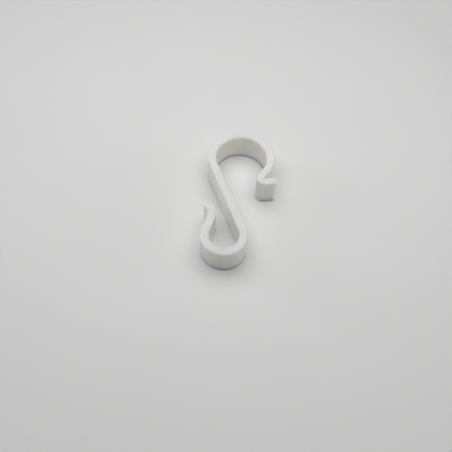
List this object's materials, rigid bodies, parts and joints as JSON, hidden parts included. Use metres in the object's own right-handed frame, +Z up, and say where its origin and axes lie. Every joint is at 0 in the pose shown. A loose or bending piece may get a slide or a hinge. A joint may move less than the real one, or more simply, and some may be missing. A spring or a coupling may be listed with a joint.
{
  "type": "gutter light hook",
  "caption": "White plastic S-shaped hook made from one flat strip on edge: a large open hook with an outward lip goes over a gutter, and a teardrop loop with a flared arm holds a light cord.",
  "frame": {"origin": "middle of the part's box in plan, on the face that it lies on", "axes": "+Z up, across the width of the strip; +Y from the loop's centre to the hook's centre; +X towards the side that the hook's lip is on"},
  "size_m": [0.0242, 0.0498, 0.01],
  "materials": {
    "white_plastic": "fine matte, as moulded"
  },
  "bodies": {
    "root": {"hook": "white_plastic"}
  },
  "joints": []
}
